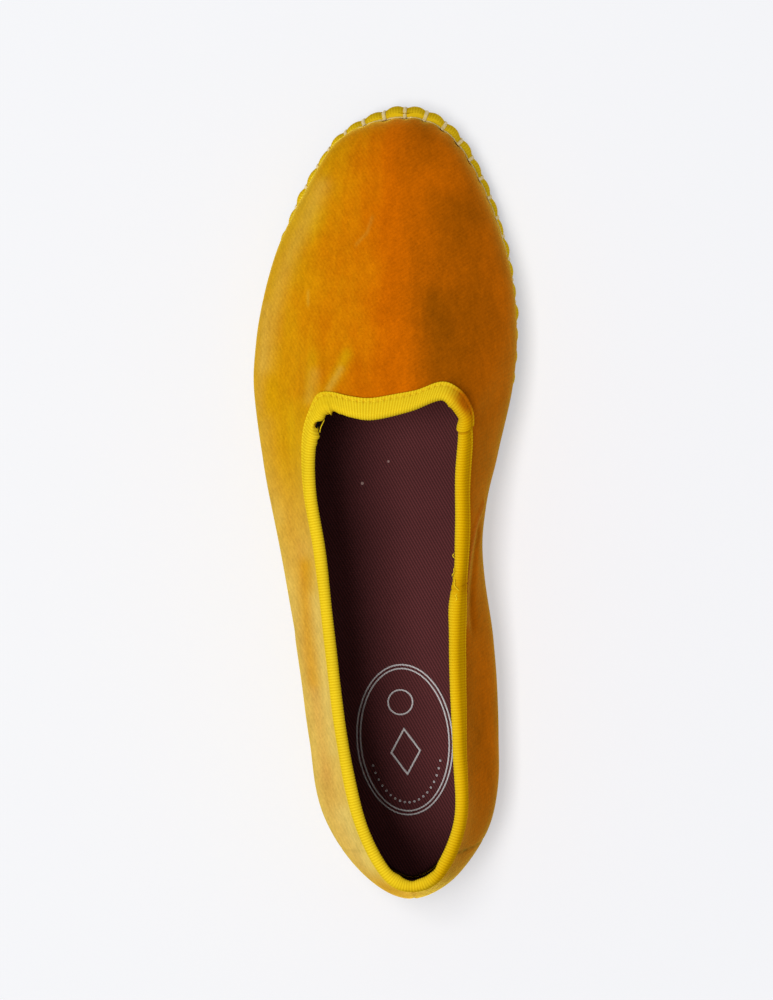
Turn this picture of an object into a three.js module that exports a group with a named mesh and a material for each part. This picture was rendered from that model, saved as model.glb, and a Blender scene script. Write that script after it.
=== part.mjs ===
// A left ballet flat in velvet: a soft slip-on shoe, open at the collar, on a flat ribbon-wrapped sole.
// Millimetres, +Z up, toe towards +Y, outer (lateral) side towards -X, inner (medial) side towards +X.
// The shoe is drawn on a flat sole first, and every point is then bent upwards ahead of the ball.
import * as THREE from "three";

// Driving dimensions
const SOLE_LENGTH = 252;
const HEEL_BACK = 123.4;
const BALL_WIDTH = 82;
const INSTEP_HEIGHT = 61;
const SIDE_HEIGHT = 55;
const HEEL_HEIGHT = 66;
const TOE_SPRING = 7;
const SPRING_START = 0.74;

// Thicknesses and clearances
const OUTSOLE_THICKNESS = 3.2;
const MIDSOLE_THICKNESS = 11.4;
const INSOLE_THICKNESS = 2.4;
const WALL = 1.8;
const SEAM_GAP = 0.3;
const RUBBER_INSET = 0.9;
const RUBBER_TOE_TUCK = 2.2;
const RUBBER_BEVEL = 0.8;
const INSOLE_ROUNDING = 0.7;

// Whip stitches draw the sole's ribbon in, so that it stands out in a pillow between each two of them.
const PILLOWS_PER_SIDE = 39;
const PILLOW_DEPTH = 0.65;
const PILLOW_ROUNDNESS = 3;

// Collar binding: a ribbon folded over the edge of the upper, with a leg on each face of the wall
const RIBBON = 0.5;
const BINDING_OUTER_LEG = 5;
const BINDING_INNER_LEG = 4.5;

// Mesh steps
const RING_STEPS = 88;
const WALL_STEPS = 11;
const BINDING_LEG_SHARES = [0, 1];
const BINDING_FOLD_SHARES = [0.25, 0.5, 0.75];
const PILLOW_STEPS = 4;
const PLATE_STEPS = 66;
const WALKING_STEPS = 40;
const FINE = 1e-3;

// Radial sections, from the toe along the outer side to the heel and back along the inner side.
// along is a share of the sole's length from the heel, across a share of the ball width from the axis.
// sole is the outer edge of the sole, and rim the top edge of the upper above it.
// lift is 0 where the rim is at the side height, and 1 where it is at the instep or heel height.
// lean is the wall's slope at the rim in degrees, and flare how far it sets off outwards at the sole.
// ledge is how far the sole's edge reaches out past the upper.
const SECTION_COLUMNS = [
  "name", "soleAlong", "soleAcross", "rimAlong", "rimAcross", "lift", "lean", "flare", "ledge",
];
const SECTIONS = [
  ["toe", 1.0, 0.078, 0.599, -0.029, 1.0, 17, 0, 2.9],
  ["outer toe", 0.97, -0.163, 0.602, -0.116, 0.9, 19, 6.5, 1.5],
  ["outer lobe", 0.895, -0.326, 0.6115, -0.212, 0.66, 27, 4, 2],
  ["outer corner", 0.797, -0.436, 0.594, -0.246, 0.44, 44, 6, 1.4],
  ["outer ball", 0.669, -0.486, 0.56, -0.279, 0.27, 66, 9.7, 1.2],
  ["outer instep", 0.55, -0.454, 0.501, -0.28, 0.12, 82, 10, 1.2],
  ["outer waist", 0.428, -0.382, 0.426, -0.244, 0.03, 87, 10.4, 1.2],
  ["outer side", 0.307, -0.318, 0.315, -0.206, 0.0, 88, 10.3, 1.2],
  ["outer seat", 0.191, -0.269, 0.197, -0.16, 0.12, 88, 10, 1.2],
  ["outer counter", 0.104, -0.219, 0.098, -0.091, 0.48, 87, 10.3, 1.2],
  ["outer heel", 0.036, -0.077, 0.0345, 0.012, 0.88, 85, 9, 1.2],
  ["heel", 0.003, 0.103, 0.018, 0.112, 1.0, 83, 7.2, 1.2],
  ["inner heel", 0.038, 0.272, 0.0345, 0.222, 0.88, 82, 8, 1.2],
  ["inner counter", 0.106, 0.385, 0.101, 0.307, 0.48, 83, 10.5, 1.2],
  ["inner seat", 0.199, 0.41, 0.197, 0.299, 0.12, 80, 10, 1.2],
  ["inner side", 0.319, 0.387, 0.315, 0.286, 0.0, 70, 8.8, 1.2],
  ["inner waist", 0.446, 0.339, 0.443, 0.308, 0.05, 66, 4.5, 1.2],
  ["inner instep", 0.562, 0.438, 0.52, 0.309, 0.18, 64, 3, 1.2],
  ["inner ball", 0.675, 0.509, 0.572, 0.319, 0.34, 54, 3, 1.2],
  ["inner corner", 0.787, 0.492, 0.6, 0.317, 0.5, 40, 2, 1.2],
  ["inner lobe", 0.89, 0.405, 0.623, 0.24, 0.7, 27, 1, 1.7],
  ["inner toe", 0.971, 0.266, 0.609, 0.11, 0.92, 19, 0, 2.2],
].map((row) => Object.fromEntries(SECTION_COLUMNS.map((column, k) => [column, row[k]])));
const HEEL_SECTION = SECTIONS.findIndex((section) => section.name === "heel");

// The rim's height at each section: the back half lifts to the heel height, the front half to the instep
SECTIONS.forEach((section, place) => {
  const isBack = Math.abs(place - HEEL_SECTION) < SECTIONS.length / 4;
  section.rimHeight = SIDE_HEIGHT + section.lift * ((isBack ? HEEL_HEIGHT : INSTEP_HEIGHT) - SIDE_HEIGHT);
});

// The wall's curve between sole and rim: its two handles as shares of the height and of the way,
// and how strongly it comes to the rim square to the sole's edge, in millimetres
const WALL_RISE = 0.46;
const RIM_REACH = 0.56;
const SQUARE_ON = 18;

// Side of the midsole: how far the ribbon is drawn in at shares of its height
const MIDSOLE_SIDE = [
  { share: 0, drawnIn: 1.1 },
  { share: 0.22, drawnIn: 0.2 },
  { share: 0.6, drawnIn: 0 },
  { share: 0.86, drawnIn: 0.3 },
  { share: 1, drawnIn: 1.1 },
];

// Heights above the floor on the flat sole
const MIDSOLE_BOTTOM = OUTSOLE_THICKNESS + SEAM_GAP;
const MIDSOLE_TOP = MIDSOLE_BOTTOM + MIDSOLE_THICKNESS;
const FEATHER_HEIGHT = MIDSOLE_TOP + SEAM_GAP;

const UP = new THREE.Vector3(0, 0, 1);

// Reads a column of the sections at place t on a smooth closed curve; whole numbers are the sections.
function column(t, name) {
  const count = SECTIONS.length;
  const base = Math.floor(t);
  const share = t - base;
  const value = (step) => SECTIONS[(base + step + 2 * count) % count][name];
  const [before, from, to, after] = [value(-1), value(0), value(1), value(2)];
  const leave = (to - before) / 2;
  const arrive = (after - from) / 2;
  const rest = to - from;
  const curl = 3 * rest - 2 * leave - arrive + share * (leave + arrive - 2 * rest);
  return from + share * (leave + share * curl);
}

function solePoint(t) {
  const x = column(t, "soleAcross") * BALL_WIDTH;
  const y = column(t, "soleAlong") * SOLE_LENGTH - HEEL_BACK;
  return new THREE.Vector3(x, y, 0);
}

function rimPoint(t) {
  const x = column(t, "rimAcross") * BALL_WIDTH;
  const y = column(t, "rimAlong") * SOLE_LENGTH - HEEL_BACK;
  return new THREE.Vector3(x, y, column(t, "rimHeight"));
}

// The direction straight out from the sole's edge, level with the floor
function outward(t) {
  const along = solePoint(t + FINE).sub(solePoint(t - FINE));
  return new THREE.Vector3(along.y, -along.x, 0).normalize();
}

// 0 behind the start of the toe spring, and from there a square law that comes to 1 at the toe
function toeward(t) {
  const ahead = (column(t, "soleAlong") - SPRING_START) / (1 - SPRING_START);
  return Math.max(0, ahead) ** 2;
}

// The outside of the upper: v runs from 0 at the sole to 1 at the rim along a cubic curve.
function wallOutside(t, v) {
  const out = outward(t);
  const foot = solePoint(t).addScaledVector(out, -column(t, "ledge")).setZ(FEATHER_HEIGHT);
  const rim = rimPoint(t);
  const rise = WALL_RISE * (rim.z - foot.z);
  const reach = RIM_REACH * rim.distanceTo(foot);
  const lean = THREE.MathUtils.degToRad(column(t, "lean"));
  const inward = rim.clone().sub(foot).setZ(0).addScaledVector(out, -SQUARE_ON).normalize();
  const setOff = foot.clone().addScaledVector(UP, rise).addScaledVector(out, column(t, "flare"));
  const arrive = rim.clone().addScaledVector(inward, -reach * Math.cos(lean));
  arrive.addScaledVector(UP, -reach * Math.sin(lean));
  return new THREE.CubicBezierCurve3(foot, setOff, arrive, rim).getPoint(v);
}

function wallNormal(t, v) {
  const from = Math.min(v, 1 - FINE);
  const round = wallOutside(t + FINE, from).sub(wallOutside(t - FINE, from));
  const rising = wallOutside(t, from + FINE).sub(wallOutside(t, from));
  return round.cross(rising).normalize();
}

// A point in the wall: depth 0 is the outside, WALL the inside, and less than 0 stands proud of the shoe.
function wallPoint(t, v, depth) {
  return wallOutside(t, v).addScaledVector(wallNormal(t, v), -depth);
}

// The share of the way up the wall that lies a given distance below the rim
function belowRim(t, distance) {
  const length = wallOutside(t, 1).distanceTo(wallOutside(t, 1 - FINE)) / FINE;
  return 1 - distance / length;
}

// Toe spring: ahead of its start the sole curves up as a parabola, and what stands on it turns with it.
function bend(point) {
  const start = SPRING_START * SOLE_LENGTH - HEEL_BACK;
  const rate = TOE_SPRING / ((1 - SPRING_START) * SOLE_LENGTH) ** 2;
  const ahead = Math.max(0, point.y - start);
  const slope = 2 * rate * ahead;
  const angle = Math.atan(slope);
  const y = point.y - (ahead * slope ** 2) / 6 - point.z * Math.sin(angle);
  return new THREE.Vector3(point.x, y, rate * ahead ** 2 + point.z * Math.cos(angle));
}

function geometryOf(points, triangles) {
  const geometry = new THREE.BufferGeometry().setFromPoints(points.map(bend));
  geometry.setIndex(triangles);
  geometry.computeVertexNormals();
  return geometry;
}

// A closed band round the shoe: loops holds a closed section for each place, and each is joined to the next.
function ringSolid(loops) {
  const size = loops[0].length;
  const triangles = [];
  for (let i = 0; i < loops.length; i += 1) {
    const next = (i + 1) % loops.length;
    for (let j = 0; j < size; j += 1) {
      const side = (j + 1) % size;
      const [a, b, c, d] = [i * size + j, next * size + j, next * size + side, i * size + side];
      triangles.push(a, b, c, a, c, d);
    }
  }
  return geometryOf(loops.flat(), triangles);
}

// A plate with the sole's outline: levels holds the outline at rising heights, from the toe round to the toe.
// Rungs from each point of the outer side to its partner on the inner side close the bottom and the top.
function plateSolid(levels) {
  const size = levels[0].length;
  const top = (levels.length - 1) * size;
  const triangles = [];
  for (let start = 0; start < top; start += size) {
    for (let i = 0; i < size; i += 1) {
      const [a, b] = [start + i, start + ((i + 1) % size)];
      triangles.push(a, b, b + size, a, b + size, a + size);
    }
  }
  for (let i = 0; i < size / 2; i += 1) {
    const [a, b, c, d] = [i, i + 1, size - i - 1, (size - i) % size];
    if (b !== c) {
      triangles.push(a, c, b, top + a, top + b, top + c);
    }
    if (a !== d) {
      triangles.push(a, d, c, top + a, top + c, top + d);
    }
  }
  return geometryOf(levels.flat(), triangles);
}

// Places spread evenly along the sole's edge, as many on the outer side, toe to heel, as on the inner side
function evenPlaces(stepsPerSide) {
  const sides = [
    { from: 0, to: HEEL_SECTION },
    { from: HEEL_SECTION, to: SECTIONS.length },
  ];
  return sides.flatMap(({ from, to }) => {
    const walk = new THREE.CurvePath();
    for (let k = from * WALKING_STEPS; k < to * WALKING_STEPS; k += 1) {
      walk.add(new THREE.LineCurve3(solePoint(k / WALKING_STEPS), solePoint((k + 1) / WALKING_STEPS)));
    }
    const lengths = walk.getCurveLengths();
    return Array.from({ length: stepsPerSide }, (_, step) => {
      const goal = (step / stepsPerSide) * lengths.at(-1);
      const k = lengths.findIndex((length) => length > goal);
      const start = k > 0 ? lengths[k - 1] : 0;
      return from + (k + (goal - start) / (lengths[k] - start)) / WALKING_STEPS;
    });
  });
}

// The sole's outline at a height above the floor, drawn in from its edge by a distance for each place
function outline(places, height, drawnIn) {
  return places.map((t, i) => solePoint(t).addScaledVector(outward(t), -drawnIn(t, i)).setZ(height));
}

function makeOutsole() {
  const places = evenPlaces(PLATE_STEPS);
  const inset = (t) => RUBBER_INSET + RUBBER_TOE_TUCK * toeward(t);
  return plateSolid([
    outline(places, 0, (t) => inset(t) + RUBBER_BEVEL),
    outline(places, RUBBER_BEVEL, inset),
    outline(places, OUTSOLE_THICKNESS, inset),
  ]);
}

function makeMidsole() {
  const places = evenPlaces(PILLOWS_PER_SIDE * PILLOW_STEPS);
  const tightness = (i) => Math.abs(Math.cos((Math.PI * i) / PILLOW_STEPS)) ** PILLOW_ROUNDNESS;
  const levels = MIDSOLE_SIDE.map(({ share, drawnIn }) => {
    const height = MIDSOLE_BOTTOM + share * MIDSOLE_THICKNESS;
    return outline(places, height, (t, i) => drawnIn + PILLOW_DEPTH * tightness(i));
  });
  return plateSolid(levels);
}

function makeInsole() {
  const places = evenPlaces(PLATE_STEPS);
  const inset = (t) => column(t, "ledge") + WALL + 2 * SEAM_GAP;
  const top = FEATHER_HEIGHT + INSOLE_THICKNESS;
  return plateSolid([
    outline(places, FEATHER_HEIGHT, inset),
    outline(places, top - INSOLE_ROUNDING, inset),
    outline(places, top, (t) => inset(t) + INSOLE_ROUNDING),
  ]);
}

// Upper: one hollow wall from the sole to the rim, open at the collar and underneath
function makeUpper() {
  const shares = Array.from({ length: WALL_STEPS + 1 }, (_, k) => k / WALL_STEPS);
  const loops = Array.from({ length: RING_STEPS }, (_, i) => {
    const t = (i / RING_STEPS) * SECTIONS.length;
    const outside = shares.map((v) => wallPoint(t, v, 0));
    const inside = shares.map((v) => wallPoint(t, v, WALL));
    return [...outside, ...inside.reverse()];
  });
  return ringSolid(loops);
}

// One skin of the folded ribbon at place t: up the outside of the wall, over its rim and down the inside,
// standing off the wall by a clearance
function bindingSkin(t, clearance) {
  const outside = BINDING_LEG_SHARES.map((share) =>
    wallPoint(t, belowRim(t, (1 - share) * BINDING_OUTER_LEG), -clearance),
  );
  const inside = BINDING_LEG_SHARES.map((share) =>
    wallPoint(t, belowRim(t, share * BINDING_INNER_LEG), WALL + clearance),
  );
  const centre = wallPoint(t, 1, WALL / 2);
  const normal = wallNormal(t, 1);
  const rising = centre.clone().sub(wallPoint(t, 1 - FINE, WALL / 2)).normalize();
  const fold = BINDING_FOLD_SHARES.map((share) => {
    const radius = WALL / 2 + clearance;
    const across = normal.clone().multiplyScalar(radius * Math.cos(share * Math.PI));
    return across.add(centre).addScaledVector(rising, radius * Math.sin(share * Math.PI));
  });
  return [...outside, ...fold, ...inside];
}

function makeBinding() {
  const loops = Array.from({ length: RING_STEPS }, (_, i) => {
    const t = (i / RING_STEPS) * SECTIONS.length;
    const outer = bindingSkin(t, SEAM_GAP + RIBBON);
    const inner = bindingSkin(t, SEAM_GAP);
    return [...outer, ...inner.reverse()];
  });
  return ringSolid(loops);
}

const FINISHES = {
  velvet: new THREE.MeshStandardMaterial({ color: "#c8780a", roughness: 0.95, metalness: 0 }),
  ribbon: new THREE.MeshStandardMaterial({ color: "#e0b916", roughness: 0.7, metalness: 0 }),
  twill: new THREE.MeshStandardMaterial({ color: "#43232a", roughness: 0.85, metalness: 0 }),
  rubber: new THREE.MeshStandardMaterial({ color: "#4a4743", roughness: 0.8, metalness: 0 }),
};

const PIECES = [
  { name: "outsole", finish: "rubber", make: makeOutsole },
  { name: "midsole", finish: "ribbon", make: makeMidsole },
  { name: "insole", finish: "twill", make: makeInsole },
  { name: "upper", finish: "velvet", make: makeUpper },
  { name: "collar_binding", finish: "ribbon", make: makeBinding },
];

const shoe = new THREE.Group();
for (const { name, finish, make } of PIECES) {
  const mesh = new THREE.Mesh(make(), FINISHES[finish]);
  mesh.name = name;
  shoe.add(mesh);
}

// The origin is on the floor under the middle of the shoe's outline.
const middle = new THREE.Box3().setFromObject(shoe).getCenter(new THREE.Vector3());
shoe.position.set(-middle.x, -middle.y, 0);

export default shoe;
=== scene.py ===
import bpy
import numpy as np
from mathutils import Matrix, Vector


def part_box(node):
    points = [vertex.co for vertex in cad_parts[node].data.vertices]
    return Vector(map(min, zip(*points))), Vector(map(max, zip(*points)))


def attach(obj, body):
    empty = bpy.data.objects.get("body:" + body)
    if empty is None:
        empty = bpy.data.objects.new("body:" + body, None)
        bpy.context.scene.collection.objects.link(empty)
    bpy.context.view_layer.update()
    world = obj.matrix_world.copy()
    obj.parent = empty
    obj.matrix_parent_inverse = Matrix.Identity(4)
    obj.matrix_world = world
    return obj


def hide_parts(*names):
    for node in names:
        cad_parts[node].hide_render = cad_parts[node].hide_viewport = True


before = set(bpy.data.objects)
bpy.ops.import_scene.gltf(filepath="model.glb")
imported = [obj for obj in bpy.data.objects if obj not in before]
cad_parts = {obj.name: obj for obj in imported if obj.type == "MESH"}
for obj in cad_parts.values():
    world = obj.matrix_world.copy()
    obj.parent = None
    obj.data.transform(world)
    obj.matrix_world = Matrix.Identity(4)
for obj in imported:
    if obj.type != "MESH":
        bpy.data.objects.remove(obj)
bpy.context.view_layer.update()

# Sizes of the shoe in millimetres, the same as in the part's source
SOLE_LENGTH = 252.0
HEEL_BACK = 123.4
BALL_WIDTH = 82.0
INSTEP_HEIGHT = 61.0
SIDE_HEIGHT = 55.0
HEEL_HEIGHT = 66.0
TOE_SPRING = 7.0
SPRING_START = 0.74
OUTSOLE_THICKNESS = 3.2
MIDSOLE_THICKNESS = 11.4
INSOLE_THICKNESS = 2.4
WALL = 1.8
SEAM_GAP = 0.3
RUBBER_INSET = 0.9
RUBBER_TOE_TUCK = 2.2
RUBBER_BEVEL = 0.8
INSOLE_ROUNDING = 0.7
PILLOWS_PER_SIDE = 39
PILLOW_DEPTH = 0.65
PILLOW_ROUNDNESS = 3
RIBBON = 0.5
BINDING_OUTER_LEG = 5.0
BINDING_INNER_LEG = 4.5
WALL_RISE = 0.46
RIM_REACH = 0.56
SQUARE_ON = 18.0
MIDSOLE_BOTTOM = OUTSOLE_THICKNESS + SEAM_GAP
MIDSOLE_TOP = MIDSOLE_BOTTOM + MIDSOLE_THICKNESS
FEATHER_HEIGHT = MIDSOLE_TOP + SEAM_GAP
INSOLE_TOP = FEATHER_HEIGHT + INSOLE_THICKNESS
SPRING_LINE = SPRING_START * SOLE_LENGTH - HEEL_BACK

# Steps of the source's own mesh of the upper, used only to find where its origin lies
SOURCE_RING_STEPS = 88
SOURCE_WALL_STEPS = 11

# Sections from the toe along the outer side to the heel and back along the inner side
COLUMNS = ("sole_along", "sole_across", "rim_along", "rim_across", "lift", "lean", "flare", "ledge")
SECTIONS = np.array([
    (1.0, 0.078, 0.599, -0.029, 1.0, 17, 0, 2.9),  # toe
    (0.97, -0.163, 0.602, -0.116, 0.9, 19, 6.5, 1.5),  # outer toe
    (0.895, -0.326, 0.6115, -0.212, 0.66, 27, 4, 2),  # outer lobe
    (0.797, -0.436, 0.594, -0.246, 0.44, 44, 6, 1.4),  # outer corner
    (0.669, -0.486, 0.56, -0.279, 0.27, 66, 9.7, 1.2),  # outer ball
    (0.55, -0.454, 0.501, -0.28, 0.12, 82, 10, 1.2),  # outer instep
    (0.428, -0.382, 0.426, -0.244, 0.03, 87, 10.4, 1.2),  # outer waist
    (0.307, -0.318, 0.315, -0.206, 0.0, 88, 10.3, 1.2),  # outer side
    (0.191, -0.269, 0.197, -0.16, 0.12, 88, 10, 1.2),  # outer seat
    (0.104, -0.219, 0.098, -0.091, 0.48, 87, 10.3, 1.2),  # outer counter
    (0.036, -0.077, 0.0345, 0.012, 0.88, 85, 9, 1.2),  # outer heel
    (0.003, 0.103, 0.018, 0.112, 1.0, 83, 7.2, 1.2),  # heel
    (0.038, 0.272, 0.0345, 0.222, 0.88, 82, 8, 1.2),  # inner heel
    (0.106, 0.385, 0.101, 0.307, 0.48, 83, 10.5, 1.2),  # inner counter
    (0.199, 0.41, 0.197, 0.299, 0.12, 80, 10, 1.2),  # inner seat
    (0.319, 0.387, 0.315, 0.286, 0.0, 70, 8.8, 1.2),  # inner side
    (0.446, 0.339, 0.443, 0.308, 0.05, 66, 4.5, 1.2),  # inner waist
    (0.562, 0.438, 0.52, 0.309, 0.18, 64, 3, 1.2),  # inner instep
    (0.675, 0.509, 0.572, 0.319, 0.34, 54, 3, 1.2),  # inner ball
    (0.787, 0.492, 0.6, 0.317, 0.5, 40, 2, 1.2),  # inner corner
    (0.89, 0.405, 0.623, 0.24, 0.7, 27, 1, 1.7),  # inner lobe
    (0.971, 0.266, 0.609, 0.11, 0.92, 19, 0, 2.2),  # inner toe
])
AROUND = len(SECTIONS)
HEEL = AROUND // 2
TABLE = dict(zip(COLUMNS, SECTIONS.T))
IS_BACK = np.abs(np.arange(AROUND) - HEEL) < AROUND / 4
END_HEIGHTS = np.where(IS_BACK, HEEL_HEIGHT, INSTEP_HEIGHT)
TABLE["rim_height"] = SIDE_HEIGHT + TABLE["lift"] * (END_HEIGHTS - SIDE_HEIGHT)

FINE = 1e-3
MM = 1e-3
UP = np.array([0.0, 0.0, 1.0])
LEVEL = np.array([1.0, 1.0, 0.0])
PILLOWS = 2 * PILLOWS_PER_SIDE


def stack(x, y, z):
    """Three arrays of coordinates as one array of points."""
    return np.stack(np.broadcast_arrays(x, y, z), axis=-1).astype(float)


def unit(vectors):
    """Each vector divided by its own length."""
    return vectors / np.maximum(np.linalg.norm(vectors, axis=-1, keepdims=True), 1e-12)


def times(numbers, vectors):
    """Each vector multiplied by its own number."""
    return np.asarray(numbers)[..., None] * vectors


def smooth(low, high, x):
    """0 on low's side, 1 on high's side, and 3u^2 - 2u^3 of the way u from one to the other."""
    u = np.clip((x - low) / (high - low), 0, 1)
    return u * u * (3 - 2 * u)


def bell(distance, width):
    """A soft bump: 1 at no distance, falling as e to the minus (distance / width) squared."""
    return np.exp(-((distance / width) ** 2))


def column(t, name):
    """A column of the sections at place t: the cubic through each two rows whose slope at a row is half the
    step between its neighbours."""
    rows = TABLE[name]
    base = np.floor(t).astype(int)
    share = t - base
    before, start, stop, after = (rows[(base + step) % AROUND] for step in (-1, 0, 1, 2))
    leave = (stop - before) / 2
    arrive = (after - start) / 2
    rest = stop - start
    bending = 3 * rest - 2 * leave - arrive
    turning = leave + arrive - 2 * rest
    return start + share * (leave + share * (bending + share * turning))


def sole_point(t):
    """The sole's outer edge: shares of the width across and of the length along, measured from the origin."""
    x = column(t, "sole_across") * BALL_WIDTH
    return stack(x, column(t, "sole_along") * SOLE_LENGTH - HEEL_BACK, 0.0)


def rim_point(t):
    """The top edge of the upper, in the same shares, at the rim's height."""
    x = column(t, "rim_across") * BALL_WIDTH
    return stack(x, column(t, "rim_along") * SOLE_LENGTH - HEEL_BACK, column(t, "rim_height"))


def outward(t):
    """Straight out from the sole's edge: the edge's own direction turned by a right angle."""
    along = sole_point(t + FINE) - sole_point(t - FINE)
    return unit(stack(along[..., 1], -along[..., 0], 0.0))


def toeward(t):
    """0 behind the spring line, and from there the square of the share of the way on to the toe."""
    ahead = (column(t, "sole_along") - SPRING_START) / (1 - SPRING_START)
    return np.maximum(0, ahead) ** 2


def wall_outside(t, v):
    """The outside of the upper: a cubic Bezier curve from the sole, v = 0, to the rim, v = 1. Its first
    handle stands up and flares out from the sole, and its second reaches back from the rim at the lean."""
    out = outward(t)
    foot = sole_point(t) - times(column(t, "ledge"), out) + FEATHER_HEIGHT * UP
    rim = rim_point(t)
    way = rim - foot
    reach = RIM_REACH * np.linalg.norm(way, axis=-1)
    lean = np.radians(column(t, "lean"))
    inward = unit(way * LEVEL - out * SQUARE_ON)
    set_off = foot + times(WALL_RISE * way[..., 2], UP) + times(column(t, "flare"), out)
    arrive = rim - times(reach * np.cos(lean), inward) - times(reach * np.sin(lean), UP)
    w = 1 - v
    return times(w**3, foot) + times(3 * w * w * v, set_off) + times(3 * w * v * v, arrive) + times(v**3, rim)


def wall_normal(t, v):
    """Straight out of the wall: the direction round the shoe crossed with the direction up the wall."""
    start = np.minimum(v, 1 - FINE)
    round_shoe = wall_outside(t + FINE, start) - wall_outside(t - FINE, start)
    rising = wall_outside(t, start + FINE) - wall_outside(t, start)
    return unit(np.cross(round_shoe, rising))


def wall_point(t, v, depth):
    """A point in the wall: the outside moved inwards by depth along the wall's own normal."""
    t, v, depth = np.broadcast_arrays(t, v, depth)
    return wall_outside(t, v) - times(depth, wall_normal(t, v))


def below_rim(t, distance):
    """The share of the way up the wall that lies a distance below the rim, taken along the slope there."""
    ones = np.ones_like(t)
    length = np.linalg.norm(wall_outside(t, ones) - wall_outside(t, ones - FINE), axis=-1) / FINE
    return 1 - distance / length


def bend(points):
    """Toe spring: ahead of the spring line the sole is a parabola, and what stands on it turns with its
    slope."""
    rate = TOE_SPRING / ((1 - SPRING_START) * SOLE_LENGTH) ** 2
    x, y, z = np.moveaxis(points, -1, 0)
    ahead = np.maximum(0, y - SPRING_LINE)
    slope = 2 * rate * ahead
    angle = np.arctan(slope)
    return stack(x, y - ahead * slope**2 / 6 - z * np.sin(angle), rate * ahead**2 + z * np.cos(angle))


# Where the source's origin lies: its mesh of the upper, worked out again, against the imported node
ring_places = np.arange(SOURCE_RING_STEPS)[:, None] * AROUND / SOURCE_RING_STEPS
wall_shares = np.arange(SOURCE_WALL_STEPS + 1)[None, :] / SOURCE_WALL_STEPS
source_upper = bend(wall_point(ring_places, wall_shares, 0.0)).reshape(-1, 3)
ORIGIN = (np.array(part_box("upper")[0]) / MM - source_upper.min(axis=0)) * LEVEL

# Lengths walked along the sole's edge and along the rim, for even steps
WALK_STEPS = 40
WALK = np.linspace(0, AROUND, WALK_STEPS * AROUND + 1)


def walked(lines):
    """The length walked along each line of points up to each of them."""
    paces = np.linalg.norm(np.diff(lines, axis=-2), axis=-1)
    return np.concatenate([np.zeros_like(paces[..., :1]), np.cumsum(paces, axis=-1)], axis=-1)


sole_run = walked(sole_point(WALK))
half_way = WALK_STEPS * HEEL
outer_run, inner_run = sole_run[half_way], sole_run[-1] - sole_run[half_way]
PILLOW_NUMBERS = np.concatenate([
    PILLOWS_PER_SIDE * sole_run[:half_way] / outer_run,
    PILLOWS_PER_SIDE * (1 + (sole_run[half_way:] - outer_run) / inner_run),
])
RIM_RUN = walked(rim_point(WALK))


def pillow_place(number):
    """The place on the sole's edge of a pillow number: whole numbers are stitches, even on each side."""
    return np.interp(np.mod(number, PILLOWS), PILLOW_NUMBERS, WALK)


def pillow_number(t):
    """The pillow number at a place on the sole's edge."""
    return np.interp(np.mod(t, AROUND), WALK, PILLOW_NUMBERS)


def rim_place(run):
    """The place at which the rim has been walked for a length."""
    return np.interp(np.mod(run, RIM_RUN[-1]), RIM_RUN, WALK)


def run_between(run, middle):
    """How far along the rim a run lies from a middle, the shorter way round."""
    total = RIM_RUN[-1]
    return np.mod(run - middle + total / 2, total) - total / 2


def rim_normal(run):
    """Straight out of the wall at the rim, where the rim has been walked for a length."""
    t = rim_place(run)
    return wall_normal(t, np.ones_like(t))


def bumps_along(run, table):
    """A sum of soft bumps along the rim: the table gives the middle, half width and height of each."""
    return sum(height * bell(run_between(run, middle), width) for middle, width, height in table)


def wander(x, seed):
    """A slow, uneven wave between about -1 and 1: three sines whose lengths have no common measure."""
    return (np.sin(x + seed) + np.sin(1.71 * x + 2.3 * seed) + np.sin(2.93 * x + 4.1 * seed)) / 2.2


def to_line(plan, line):
    """The distance in plan from each point to a line that goes straight from corner to corner."""
    nearest = np.inf
    for corner, following in zip(np.array(line[:-1]), np.array(line[1:])):
        step = following - corner
        share = np.clip((plan - corner) @ step / (step @ step), 0, 1)
        nearest = np.minimum(nearest, np.linalg.norm(plan - corner - times(share, step), axis=-1))
    return nearest


def bumps_on(plan, table):
    """A sum of soft bumps along lines in plan: the table gives the line, half width and height of each."""
    return sum(height * bell(to_line(plan, line), width) for line, width, height in table)


def grid_quads(rows, columns, close_rows=False, close_columns=False):
    """The corners of each cell of a grid, going on from the last row or column to the first where closed."""
    i, j = np.meshgrid(
        np.arange(rows if close_rows else rows - 1),
        np.arange(columns if close_columns else columns - 1),
        indexing="ij",
    )
    i2, j2 = (i + 1) % rows, (j + 1) % columns
    cells = [i * columns + j, i2 * columns + j, i2 * columns + j2, i * columns + j2]
    return np.stack(cells, axis=-1).reshape(-1, 4)


def ladder_triangles(size, first):
    """Rungs across a ring of points that starts at the toe, from each to its partner on the other side."""
    i = np.arange(size // 2)
    a, b, c, d = i, i + 1, size - i - 1, (size - i) % size
    halves = [np.stack([a, b, c], axis=-1)[b != c], np.stack([a, c, d], axis=-1)[a != d]]
    return first + np.concatenate(halves)


scene = bpy.context.scene
shoe_pieces = bpy.data.collections.new("shoe_pieces")
stage_pieces = bpy.data.collections.new("stage_pieces")


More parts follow.
